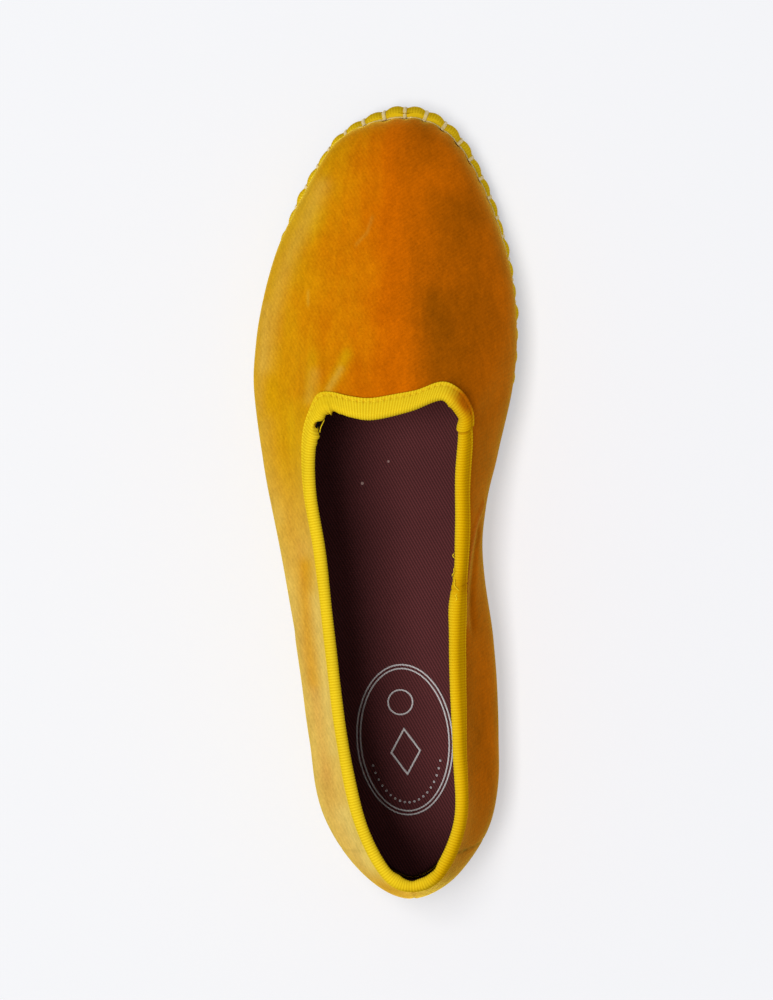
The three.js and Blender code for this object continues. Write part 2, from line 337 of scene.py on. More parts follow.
def add_piece(name, finish, points, quads, triangles=None, marks=None, slot=None, replaces=()):
    """A mesh piece from points on the flat sole, in millimetres: bent by the toe spring, moved to the part's
    origin and put in metres, with a value of each mark at every point."""
    triangles = np.zeros((0, 3), int) if triangles is None else triangles
    placed = (bend(points.reshape(-1, 3)) + ORIGIN) * MM
    corners = np.concatenate([quads.ravel(), triangles.ravel()]).astype(np.int32)
    quad_starts = 4 * np.arange(len(quads))
    starts = np.concatenate([quad_starts, 4 * len(quads) + 3 * np.arange(len(triangles))]).astype(np.int32)
    mesh = bpy.data.meshes.new(name)
    mesh.vertices.add(len(placed))
    mesh.vertices.foreach_set("co", placed.astype(np.float32).ravel())
    mesh.loops.add(len(corners))
    mesh.loops.foreach_set("vertex_index", corners)
    mesh.polygons.add(len(starts))
    mesh.polygons.foreach_set("loop_start", starts)
    mesh.polygons.foreach_set("use_smooth", np.ones(len(starts), bool))
    for mark, values in (marks or {}).items():
        layer = mesh.attributes.new(mark, "FLOAT", "POINT")
        layer.data.foreach_set("value", values.astype(np.float32).ravel())
    mesh.update(calc_edges=True)
    mesh.validate()
    mesh.materials.append(finish.material)
    piece = bpy.data.objects.new(name, mesh)
    scene.collection.objects.link(piece)
    shoe_pieces.objects.link(piece)
    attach(piece, "root")
    if replaces:
        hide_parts(*replaces)
    return piece


def add_grid(name, finish, points, close_rows=True, **settings):
    """A piece whose points are a grid, closed round its columns and, unless told otherwise, its rows."""
    quads = grid_quads(*points.shape[:2], close_rows=close_rows, close_columns=True)
    return add_piece(name, finish, points, quads, **settings)


def backed(values, columns, filled=0.0):
    """The values on a grid, with some more columns for the back of its piece."""
    return np.pad(values, ((0, 0), (0, columns)), constant_values=filled)


class Value:
    """A socket of a finish, on which Python's own operators add Math nodes."""

    def __init__(self, finish, socket):
        self.finish = finish
        self.socket = socket

    def math(self, operation, *others):
        """A Math node on this value and the others."""
        return self.finish.node("ShaderNodeMath", {"operation": operation}, dict(enumerate((self, *others))))

    def __add__(self, other):
        return self.math("ADD", other)

    def __sub__(self, other):
        return self.math("SUBTRACT", other)

    def __mul__(self, other):
        return self.math("MULTIPLY", other)

    def __truediv__(self, other):
        return self.math("DIVIDE", other)

    def __pow__(self, other):
        return self.math("POWER", other)

    def __rsub__(self, other):
        return self.finish.node("ShaderNodeMath", {"operation": "SUBTRACT"}, {0: other, 1: self})

    __radd__ = __add__
    __rmul__ = __mul__

    def wave(self):
        """0 to 1 and back once for each whole number: half of 1 plus the sine of a full turn."""
        return 0.5 + 0.5 * (self * (2 * np.pi)).math("SINE")

    def within(self, low, high):
        """0 on low's side, 1 on high's side and a smooth step between."""
        sockets = {"Value": self, "From Min": low, "From Max": high}
        return self.finish.node("ShaderNodeMapRange", {"interpolation_type": "SMOOTHSTEP"}, sockets)


class Finish:
    """A material: one Principled shader, its constant sockets set by name, and the nodes that feed it."""

    def __init__(self, name, constants):
        self.material = bpy.data.materials.new(name)
        self.material.use_nodes = True
        self.tree = self.material.node_tree
        self.shader = self.tree.nodes["Principled BSDF"]
        for socket, value in constants.items():
            self.shader.inputs[socket].default_value = value

    def feed(self, socket, value):
        """Links a value to a socket, or sets a constant on it."""
        if isinstance(value, Value):
            self.tree.links.new(value.socket, socket)
        else:
            socket.default_value = value

    def node(self, kind, settings, sockets, out=0):
        """Any node: its type, its settings, then the value or link of each socket, by name or number."""
        made = self.tree.nodes.new(kind)
        for setting, value in settings.items():
            setattr(made, setting, value)
        for socket, value in sockets.items():
            self.feed(made.inputs[socket], value)
        return Value(self, made.outputs[out])

    def place(self):
        """The Object coordinates, in metres."""
        return self.node("ShaderNodeTexCoord", {}, {}, "Object")

    def axis(self, place, name):
        """One coordinate of a place, in millimetres."""
        return self.node("ShaderNodeSeparateXYZ", {}, {0: place}, name) * (1 / MM)

    def noise(self, place, size_mm, detail=2.0, roughness=0.5):
        """Cloudy noise between about 0 and 1 whose patches are about that size."""
        sockets = {"Vector": place, "Scale": 1 / (size_mm * MM), "Detail": detail, "Roughness": roughness}
        return self.node("ShaderNodeTexNoise", {}, sockets)

    def stretched(self, place, across, along, up):
        """The place with each coordinate multiplied by its own number, which draws a pattern out."""
        sockets = {0: place, 1: (across, along, up)}
        return self.node("ShaderNodeVectorMath", {"operation": "MULTIPLY"}, sockets)

    def mark(self, name):
        """A value that the mesh carries at each point."""
        return self.node("ShaderNodeAttribute", {"attribute_name": name}, {}, "Fac")

    def blend(self, factor, first, second, kind="MIX"):
        """Two colours mixed, or multiplied, by a factor."""
        settings = {"data_type": "RGBA", "blend_type": kind, "clamp_factor": True}
        return self.node("ShaderNodeMix", settings, {0: factor, 6: first, 7: second}, 2)

    def finish_with(self, colour, roughness, height, depth_mm, strength):
        """Feeds the shader: its colour, its roughness and the relief that a height makes."""
        self.feed(self.shader.inputs["Base Color"], colour)
        self.feed(self.shader.inputs["Roughness"], roughness)
        sockets = {"Strength": strength, "Distance": depth_mm * MM, "Height": height}
        self.feed(self.shader.inputs["Normal"], self.node("ShaderNodeBump", {}, sockets, "Normal"))
        return self


def colour(red, green, blue):
    """A colour of the shader, in linear light."""
    return (red, green, blue, 1.0)


def velvet_finish():
    """Short-pile velvet: orange, golden as painted light where the wall faces the main lights and on ridges,
    deep orange as painted shade where it faces away and in hollows, pale as painted sheen, with some nap
    marks and scratches and a fine diagonal ground.
    """
    velvet = Finish("mustard_velvet", {
        "Specular IOR Level": 0.0,
        "Sheen Weight": 0.85,
        "Sheen Roughness": 0.3,
        "Sheen Tint": colour(1.0, 0.78, 0.09),
    })
    place = velvet.place()
    x, y = velvet.axis(place, "X"), velvet.axis(place, "Y")
    streaks = velvet.noise(velvet.stretched(place, 1.0, 0.22, 0.6), 5, 3.0)
    clouds = velvet.noise(place, 16, 4.0, 0.6)
    pile = velvet.noise(place, 0.8, 3.0, 0.7)
    tufts = velvet.noise(velvet.stretched(place, 1.0, 0.45, 0.7), 1.6, 3.0, 0.65)
    wobble = 0.5 * velvet.noise(place, 6)
    painted_light_shade_and_nap_mark = velvet.mark("painted_light_shade_and_nap")
    rising = ((x * 0.87 + y * 0.5) / 1.07 + wobble).wave()
    falling = ((x * 0.57 - y * 0.82) / 1.08 + wobble).wave()
    leftward = painted_light_shade_and_nap_mark.within(-0.25, 0.3)
    rows = falling + leftward * (rising - falling)
    uneven = 0.3 * (clouds - 0.5) + 0.35 * (streaks - 0.5) + 0.2 * (pile - 0.5)
    painted_light_shade_and_nap = painted_light_shade_and_nap_mark + uneven
    # Painted light turns the orange golden and painted shade turns it deep, from the marks of painted light,
    # shade and nap, with random tone
    golden = velvet.blend(painted_light_shade_and_nap.within(-0.1, 1.1), colour(0.49, 0.108, 0.0003), colour(0.5, 0.272, 0.002))
    deep = velvet.blend((0.0 - painted_light_shade_and_nap).within(-0.1, 1.0), golden, colour(0.225, 0.058, 0.0004))
    # Pale is painted sheen and highlight, with two faint scratches
    base = velvet.blend(velvet.mark("painted_sheen_and_scratches") * (1.0 + 0.9 * uneven), deep, colour(0.6, 0.43, 0.11))
    # Dark heel seams, and painted shade along the velvet's top edge
    with_seams_and_rim_shade = velvet.blend(velvet.mark("seam"), base, colour(0.04, 0.015, 0.001))
    mottled = 0.2 * (clouds - 0.5) + 0.2 * (streaks - 0.5) + 0.5 * (tufts - 0.5)
    shade = 1.0 + mottled + 0.45 * (pile - 0.5) + 0.07 * (rows - 0.5)
    tint = velvet.blend(1.0, with_seams_and_rim_shade, shade, "MULTIPLY")
    return velvet.finish_with(tint, 0.82 + 0.12 * pile, pile + 0.1 * rows, 0.3, 0.45)


def ribbon_finish(name, crest, valley):
    """Grosgrain: painted light on each rib's crest and painted shade in the valley between, with a fine
    thread along it. Where the ribbon is shaded it gets a warm painted shade, and a deep orange marks painted
    shade and the join of its ends.
    """
    ribbon = Finish(name, {"Specular IOR Level": 0.0})
    place = ribbon.place()
    rib = ribbon.mark("rib")
    threads = ribbon.noise(place, 0.35, 2.0)
    clouds = ribbon.noise(place, 14, 2.0)
    painted_rib_light = ribbon.blend(rib * (0.75 + 0.5 * threads), colour(*valley), colour(*crest))
    # Warm painted shade where the ribbon is shaded
    with_painted_shade = ribbon.blend(ribbon.mark("shaded"), painted_rib_light, colour(0.86, 0.68, 0.02), "MULTIPLY")
    # Deep orange for painted shade, and for the darker join of the ribbon's ends
    base = ribbon.blend(ribbon.mark("painted_shade_and_join_marks"), with_painted_shade, colour(0.36, 0.095, 0.001))
    tint = ribbon.blend(1.0, base, 0.92 + 0.16 * clouds, "MULTIPLY")
    return ribbon.finish_with(tint, 0.5 + 0.2 * threads, threads, 0.1, 0.35)


# Pitch of the twill's wales, in millimetres, and the direction square to them
TWILL_PITCH = 0.84
TWILL_X, TWILL_Y = 0.87, 0.5

# Specks of lint on the footbed, in millimetres: across and along the shoe, radius, and how plain each is
LINT = ((-7.8, 5.3, 0.55, 0.8), (0.5, 12.3, 0.45, 0.5))


def twill_finish(name, on_wall):
    """Twill: steep diagonal wales, each broken into short threads, with a little fading in patches. On the
    wall the wales follow the cloth and its top edge is darkened as painted shade. On the footbed they lie in
    plan, with specks of lint."""
    sheen = 0.0 if on_wall else 0.15
    twill = Finish(name, {"Specular IOR Level": 0.1, "Sheen Weight": sheen, "Sheen Roughness": 0.5})
    place = twill.place()
    x = twill.mark("along_wall") if on_wall else twill.axis(place, "X")
    y = twill.mark("down_wall") if on_wall else twill.axis(place, "Y")
    across = (x * TWILL_X + y * TWILL_Y) / TWILL_PITCH
    along = (y * TWILL_X - x * TWILL_Y) / TWILL_PITCH
    wale = (across + 0.15 * twill.noise(place, 3)).wave()
    thread = (along + 0.5 * across).wave()
    clouds = twill.noise(place, 30, 3.0)
    relief = wale * (0.75 + 0.25 * thread)
    base = twill.blend(relief, colour(0.05, 0.0105, 0.011), colour(0.132, 0.03, 0.032))
    tint = twill.blend(1.0, base, 0.8 + 0.4 * clouds, "MULTIPLY")
    if on_wall:
        # Painted shade along the lining's top edge: black within half a millimetre of the rim, gone 3 mm down
        tint = twill.blend(1.0, tint, y.within(0.5, 3.0), "MULTIPLY")
    else:
        for speck_x, speck_y, radius, plain in LINT:
            away = ((x - speck_x) ** 2 + (y - speck_y) ** 2) / radius**2
            tint = twill.blend(plain * away.within(1.0, 0.4), tint, colour(0.5, 0.33, 0.3))
    return twill.finish_with(tint, 0.75, relief, 0.3, 0.5)


def thread_finish():
    """Cream sewing yarn: fine fibres along it, darker where their relief dips."""
    thread = Finish("cream_thread", {"Specular IOR Level": 0.2, "Sheen Weight": 0.3, "Sheen Roughness": 0.5})
    place = thread.place()
    fibres = thread.noise(place, 0.3, 3.0)
    tint = thread.blend(fibres, colour(0.55, 0.38, 0.10), colour(0.80, 0.64, 0.26))
    return thread.finish_with(tint, 0.7, fibres, 0.15, 0.5)


def ink_finish():
    """Silver print on the twill, darker where the cloth's wales dip."""
    ink = Finish("silver_print", {"Specular IOR Level": 0.4})
    place = ink.place()
    x, y = ink.axis(place, "X"), ink.axis(place, "Y")
    wale = ((x * TWILL_X + y * TWILL_Y) / TWILL_PITCH).wave()
    tint = ink.blend(0.35 + 0.65 * wale, colour(0.36, 0.33, 0.33), colour(0.62, 0.58, 0.58))
    return ink.finish_with(tint, 0.5, wale, 0.1, 0.4)


def rubber_finish():
    """Matt dark rubber with a fine moulded grain."""
    rubber = Finish("sole_rubber", {"Specular IOR Level": 0.35})
    place = rubber.place()
    grain = rubber.noise(place, 0.8, 4.0, 0.6)
    clouds = rubber.noise(place, 18, 3.0)
    base = rubber.blend(clouds, colour(0.045, 0.042, 0.038), colour(0.085, 0.08, 0.072))
    tint = rubber.blend(1.0, base, 0.8 + 0.4 * grain, "MULTIPLY")
    return rubber.finish_with(tint, 0.62 + 0.25 * grain, grain, 0.15, 0.5)


VELVET = velvet_finish()
COLLAR_RIBBON = ribbon_finish("collar_grosgrain", (0.71, 0.515, 0.016), (0.585, 0.375, 0.005))
SOLE_RIBBON = ribbon_finish("sole_grosgrain", (0.66, 0.44, 0.010), (0.55, 0.34, 0.004))
FOOTBED_TWILL = twill_finish("burgundy_twill", False)
LINING_TWILL = twill_finish("lining_twill", True)
THREAD = thread_finish()
INK = ink_finish()
RUBBER = rubber_finish()

# Velvet: steps of its grid, the thickness of the pile cloth in front of the lining, its slow swell, and how
# far it is pulled in at each whip stitch and puffs out between
VELVET_STEPS = 560
VELVET_RISE_STEPS = 110
VELVET_CLOTH = 0.8
VELVET_SWELL = 0.16
STITCH_PULL = 0.55
STITCH_PUFF = 0.25

# Lining: steps of its grid, and its distance behind the pile cloth
LINING_STEPS = 264
LINING_RISE_STEPS = 40
LINING_GAP = 0.05

# Lines in plan, in millimetres: a ridge that runs forward from the throat's outer corner, a softer one beside
# it, and two short marks on the vamp
CORNER_RIDGE = ((-16.5, 34.5), (-10.9, 45.8))
SOFT_RIDGE = ((-22.2, 32.0), (-20.4, 45.0))
TOE_MARK = ((-3.4, 89.5), (-5.0, 84.5), (-8.6, 80.5))
SIDE_MARK = ((-23.5, 66.0), (-23.4, 62.0))

# Soft creases in plan: the line, half width, and height (below 0 is a trough)
CREASES = (
    (CORNER_RIDGE, 1.5, 0.6),
    (SOFT_RIDGE, 2.4, 0.5),
    (((-19.4, 35.0), (-15.6, 48.0)), 1.8, -0.35),  # hollow between the two
    (((-29.0, -12.0), (-27.0, -40.0)), 2.5, -0.4),  # hollow at the outer waist
    (((19.0, 36.0), (22.0, 60.0)), 4.0, -0.45),  # hollow forward of the throat's inner corner
)

# Folds of the inner side where the ball runs out into the waist. Their lines are along the shoe and down the
# wall from the rim; then half width, height, how golden (painted light on the ridge) or, below 0, how deep
# (painted shade in the hollow) the pile is, and how pale (painted highlight).
SIDE_FOLDS = (
    (
        ((-0.5, 16.0), (-5.0, 11.5), (-8.7, 9.0), (-12.8, 7.1), (-16.0, 6.0),
         (-19.5, 5.1), (-23.5, 4.7), (-28.0, 5.1), (-37.0, 6.0)),
        1.0, 0.6, 0.05, 0.09,
    ),
    (
        ((-9.0, 13.0), (-14.0, 11.0), (-19.0, 10.0), (-26.0, 9.5), (-33.0, 10.0), (-38.0, 11.5)),
        2.2, -0.5, -0.15, 0.0,
    ),
)

# Marks in plan, partly nap and scratches, partly painted light on ridges and painted shade in hollows: the
# line, half width, and how golden (or, below 0, how deep) the pile is
PAINTED_LIGHT_SHADE_AND_NAP_MARKS = (
    (CORNER_RIDGE, 2.0, 0.4),
    (SOFT_RIDGE, 3.0, 0.15),
    (TOE_MARK, 0.5, 0.15),
    (SIDE_MARK, 0.5, 0.1),
    (((-14.0, 111.0), (-21.0, 88.0)), 5.0, 0.18),
    (((-24.0, 92.0), (-28.5, 77.0)), 5.0, 0.14),
    (((-27.5, 63.0), (-27.5, 47.0), (-27.0, 35.0)), 5.0, -0.18),
    (((14.0, 103.0), (19.5, 99.0)), 3.0, 0.2),
    (((18.0, 116.0), (25.0, 100.0)), 6.0, 0.25),
    (((17.0, 33.0), (18.5, 48.0), (16.0, 62.0)), 6.0, -0.32),
    (((31.0, 84.0), (36.0, 70.0), (37.5, 40.0)), 4.0, 0.15),
    (((-26.0, -14.0), (-23.5, -58.0)), 2.4, -0.12),
    (((-21.5, -60.0), (-18.5, -86.0)), 2.0, -0.2),
)

# Pale marks in plan, mostly painted sheen and highlight on the outer wall, shoulder, heel and ridges, with
# two
# faint scratches: the line, half width, and how pale (or, below 0, how much less pale)
PAINTED_SHEEN_AND_SCRATCHES = (
    (((-20.0, 99.5), (-25.0, 88.0), (-30.1, 77.3), (-33.3, 67.9), (-35.4, 58.3), (-37.6, 43.5)), 3.0, 0.16),
    (((-12.0, -98.0), (-4.0, -113.0)), 4.0, 0.35),
    (((-38.0, 62.0), (-40.0, 30.0)), 2.0, 0.15),
    (TOE_MARK, 0.45, 0.06),
    (SIDE_MARK, 0.45, 0.08),
    (((-16.5, 34.8), (-12.6, 41.4)), 0.9, 0.17),
    (((-22.4, 32.0), (-20.8, 40.0)), 1.7, 0.11),
    (((-22.0, -30.0), (-15.5, -78.0)), 2.0, 0.2),
    (((-24.4, -20.0), (-24.2, -38.0), (-22.2, -56.0)), 3.0, -0.34),
    (((-39.2, 24.0), (-37.8, 10.0), (-34.6, -4.0)), 4.0, 0.17),
)

# How much painted sheen the steep outer wall gets behind the ball, where it faces the main lights
STEEP_PAINTED_SHEEN = 0.68

# Painted light and shade by which way the wall faces: golden where it faces the outer side, towards the main
# lights, and deep where it faces the inner side, away from them. The table gives how far the wall faces the
# inner side, with a little more for each millimetre across the shoe, and how golden or deep it looks there
PAINTED_LIGHT_ACROSS = 0.01
PAINTED_LIGHT_BY_FACING = np.array([
    (-1.6, 0.85), (-1.1, 0.8), (-0.97, 0.6), (-0.82, 0.58), (-0.52, 0.38),
    (-0.3, 0.33), (-0.12, 0.23), (0.0, 0.06), (0.1, -0.22), (0.25, -0.4),
    (0.42, -0.52), (0.65, -0.6), (0.95, -0.58), (1.2, -0.38), (1.6, -0.25),
])

# Seams of the heel panel: place round the shoe at the rim, how far it has moved on at the sole, half width
# and depth in millimetres, and darkness
HEEL_SEAMS = (
    (9.53, -0.05, 0.45, 0.08, 0.13),
    (11.03, 0.0, 0.5, 0.3, 0.25),
    (12.4, 0.33, 0.45, 0.2, 0.67),
)


def make_velvet():
    """The velvet: the wall's outside on a fine grid, moved out by a sum of creases, seams, the pull of the
    whip stitches at the sole and a slow wander, and closed behind at the pile cloth's own thickness."""
    t = np.arange(VELVET_STEPS)[:, None] * AROUND / VELVET_STEPS
    v = np.linspace(0, 1, VELVET_RISE_STEPS)[None, :]
    t, v = np.broadcast_arrays(t, v)
    outside = wall_outside(t, v)
    normals = wall_normal(t, v)
    risen = walked(outside)
    down = risen[:, -1:] - risen
    plan = bend(outside)[..., :2]
    side = np.stack([plan[..., 1], down], axis=-1)
    facing = normals[..., 0]
    inner = smooth(0, 0.4, facing)
    folds, painted_light_shade_and_nap, painted_sheen_and_scratches = (bumps_on(plan, table) for table in (CREASES, PAINTED_LIGHT_SHADE_AND_NAP_MARKS, PAINTED_SHEEN_AND_SCRATCHES))
    # Each fold gets painted light on its ridge and painted shade in its hollow, besides its height
    for line, width, height, golden, paler in SIDE_FOLDS:
        fold = inner * bell(to_line(side, line), width)
        folds = folds + height * fold
        painted_light_shade_and_nap = painted_light_shade_and_nap + golden * fold
        painted_sheen_and_scratches = painted_sheen_and_scratches + paler * fold
    x, y = np.moveaxis(plan, -1, 0)
    slow = VELVET_SWELL * wander(x / 9 + y / 17, 1.3) * wander(y / 13, 0.4)
    pace = np.linalg.norm(wall_outside(t + FINE, v) - wall_outside(t - FINE, v), axis=-1) / (2 * FINE)
    grooves = seams_and_rim_shade = 0.0
    for place, moved, width, depth, darkness in HEEL_SEAMS:
        seam = bell((t - place - moved * (1 - v)) * pace, width)
        grooves = grooves - depth * seam
        seams_and_rim_shade = seams_and_rim_shade + darkness * seam
    # Painted shade along the top of the velvet, within about 1.6 mm of the rim, under the ribbon's edge
    seams_and_rim_shade = seams_and_rim_shade + smooth(1.6, 0.6, down)
    stitch = np.abs(np.cos(np.pi * pillow_number(t))) ** PILLOW_ROUNDNESS
    puffed = STITCH_PUFF * (1 - stitch) * bell(risen - 2, 2.5)
    pulled = puffed - STITCH_PULL * stitch * np.exp(-risen / 2.2)
    leg = outer_leg_at(np.interp(t, WALK, RIM_RUN))
    clear_of_binding = smooth(leg - 0.4, leg + 1.6, down)
    lifted = outside + times((folds + slow + pulled) * clear_of_binding + grooves, normals)
    behind = wall_point(t[:, ::-12], v[:, ::-12], VELVET_CLOTH)
    points = np.concatenate([lifted, behind], axis=1)
    # Painted light and shade: golden or deep by which way the wall faces, from the table above
    across = facing + PAINTED_LIGHT_ACROSS * x
    painted_light_by_facing = np.mean([np.interp(across + shift, *PAINTED_LIGHT_BY_FACING.T) for shift in np.linspace(-0.1, 0.1, 9)], axis=0)
    # Painted sheen on the steep outer wall behind the ball
    painted_sheen_and_scratches = painted_sheen_and_scratches + STEEP_PAINTED_SHEEN * smooth(0.45, 0.95, -facing) * smooth(20, -40, y)
    hidden = behind.shape[1]
    marks = {
        "painted_light_shade_and_nap": backed(painted_light_shade_and_nap + painted_light_by_facing, hidden, -1.0),
        "painted_sheen_and_scratches": backed(painted_sheen_and_scratches, hidden),
        "seam": backed(seams_and_rim_shade, hidden),
    }
    add_grid("velvet_upper", VELVET, points, marks=marks, slot="velvet", replaces=("upper",))


def make_lining():
    """The lining: the rest of the wall's thickness, from behind the pile cloth to the wall's inside. It
    carries how far each point lies along the wall from the toe, the shorter way round, and how far down
    from the rim."""
    t = np.arange(LINING_STEPS)[:, None] * AROUND / LINING_STEPS
    v = np.linspace(0, 1, LINING_RISE_STEPS)[None, :]
    t, v = np.broadcast_arrays(t, v)
    slow = 0.12 * wander(t * 2.1, 0.7) * np.sin(np.pi * v)
    inside = wall_point(t, v, WALL + slow)
    front = wall_point(t[:, ::-5], v[:, ::-5], VELVET_CLOTH + LINING_GAP)
    points = np.concatenate([inside[:, ::-1], front[:, ::-1]], axis=1)
    middle = inside[:, LINING_RISE_STEPS // 2]
    run = walked(np.concatenate([middle, middle[:1]]))
    along = np.minimum(run, run[-1] - run)[:-1, None]
    down = walked(inside[:, ::-1])
    marks = {
        "along_wall": np.broadcast_to(along, points.shape[:2]),
        "down_wall": backed(down, front.shape[1]),
    }
    add_grid("lining", LINING_TWILL, points, marks=marks, slot="insole_twill")


# Collar ribbon: ribs across it, its slow swell, the wander of its outer edge and the bead along that edge
RIB_PITCH = 0.88
RIB_STEPS = 6
RIB_HEIGHT = 0.1
RIBBON_SWELL = 0.06
LEG_WANDER = 0.18
BEAD_HEIGHT = 0.1
BEAD_FROM_EDGE = 0.4
BEAD_HALF = 0.45

# The stitch row near that edge, its stitches and the needle holes along it
ROW_FROM_EDGE = 1.2
ROW_HALF = 0.45
ROW_DEPTH = 0.12
COLLAR_STITCH_PITCH = 2.0
COLLAR_STITCHES = round(RIM_RUN[-1] / COLLAR_STITCH_PITCH)
COLLAR_STITCH_HALF_WIDTH = 0.18
COLLAR_STITCH_HALF_HEIGHT = 0.13
STITCH_REACH = 0.36
HOLE_DEPTH = 0.25
HOLE_HALF = 0.34

# Shares of the way up the outer leg, round the fold and down the inner leg
OUTER_LEG_SHARES = np.array([0, 0.04, 0.1, 0.17, 0.24, 0.31, 0.4, 0.55, 0.78, 1.0])
FOLD_SHARES = np.linspace(0, 1, 9)[1:-1]
INNER_LEG_SHARES = np.array([0, 0.35, 0.7, 1.0])
BACK_FOLD_SHARES = np.array([0.25, 0.5, 0.75])

# Gathers of the ribbon's inner edge: run along the rim from the toe (below 0 along the inner side), half
# width, and how far the edge swells in or, below 0, draws back, in millimetres
GATHERS = (
    (11.5, 0.8, 0.25), (15.0, 0.9, 1.9), (17.0, 1.3, 1.5), (26.8, 0.9, 0.6), (29.2, 0.8, 0.25),
    (-23.6, 1.4, -0.25), (-26.4, 0.7, 0.25), (-33.2, 2.0, -0.35), (-36.4, 1.1, 0.05),
    (-79.5, 5.0, -0.3), (-92.5, 6.0, 0.6), (171.5, 2.6, 0.6), (177.6, 1.7, -0.4),
    (-176.8, 1.9, -0.4),
)

# Where the fold has slipped off the edge: run, half width, and how far down the wall it lies
SLIPS = ((23.3, 1.7, 2.6),)

# Where the outer leg is cut shorter or, below 0, left longer: run, half width, and by how much
LEG_TRIMS = (
    (16.0, 4.0, 0.7), (-25.0, 4.0, 1.2), (-34.0, 6.0, 2.3), (-58.0, 24.0, 1.7),
    (-81.0, 9.0, 1.2), (-114.0, 13.0, -0.9), (-152.0, 15.0, 1.8), (82.0, 52.0, 1.7),
)

# The throat's ribbon lies over the side's ribbon at the inner corner: run of its rounded end and of its start
OVERLAP = (-37.8, -27.0)
OVERLAP_RISE = 0.6

# Where the two ends of the ribbon meet on the inner side, and how far and high its threads are spread there
JOIN_RUN = -86.0
JOIN_HALF = 3.0
TANGLE_HEIGHT = 0.16

# Runs at the middle of the heel, where the ribbon gets a little painted shade, where the ribs are pulled flat
# at the outer corner, and at the inner corner, where the ribbon's outer leg gets painted shade
HEEL_RUN = 181.0
FLAT_RUN = 16.0
CORNER_RUN = -29.5


def binding_frame(t):
    """The middle of the wall at the rim, the wall's normal there and the direction in which it rises."""
    ones = np.ones_like(t)
    centre = wall_point(t, ones, WALL / 2)
    rising = unit(centre - wall_point(t, ones - FINE, WALL / 2))
    return centre, wall_normal(t, ones), rising


def binding_skin(run, clearance, shares):
    """One skin of the folded ribbon: up the outside of the wall, half round over the rim and down the inside,
    standing off the wall by a clearance at each point, with its inner half lower where it has slipped."""
    outer, fold, inner = shares
    t = rim_place(run)
    slipped = bumps_along(run, SLIPS)
    cuts = np.cumsum([len(outer), len(fold)])
    off_outer, off_fold, off_inner = np.split(clearance, cuts, axis=1)
    up_outside = wall_point(t, below_rim(t, (1 - outer) * outer_leg_at(run)), -off_outer)
    centre, normal, rising = binding_frame(t)
    radius = WALL / 2 + off_fold
    height = radius * np.sin(fold * np.pi) - slipped * smooth(0.1, 0.6, fold)
    over = centre + times(radius * np.cos(fold * np.pi), normal) + times(height, rising)
    inner_leg = inner * BINDING_INNER_LEG + (1 - inner) * slipped
    down_inside = wall_point(t, below_rim(t, inner_leg), WALL + off_inner)
    return np.concatenate([up_outside, over, down_inside], axis=1)


def outer_leg_at(run):
    """How far the ribbon reaches down the outside at a run: uneven, and cut shorter here and there."""
    return BINDING_OUTER_LEG + LEG_WANDER * wander(run / 7, 0.9) - bumps_along(run, LEG_TRIMS)


def ribbon_shaded(run):
    """How deep and warm a painted shade the ribbon gets at a run: most where the wall faces the inner side,
    away from the main lights, and less at the heel."""
    at_heel = 0.4 * bell(run_between(run, HEEL_RUN), 10.0)
    return np.maximum(smooth(0.2, 0.9, rim_normal(run)[..., 0]), at_heel)


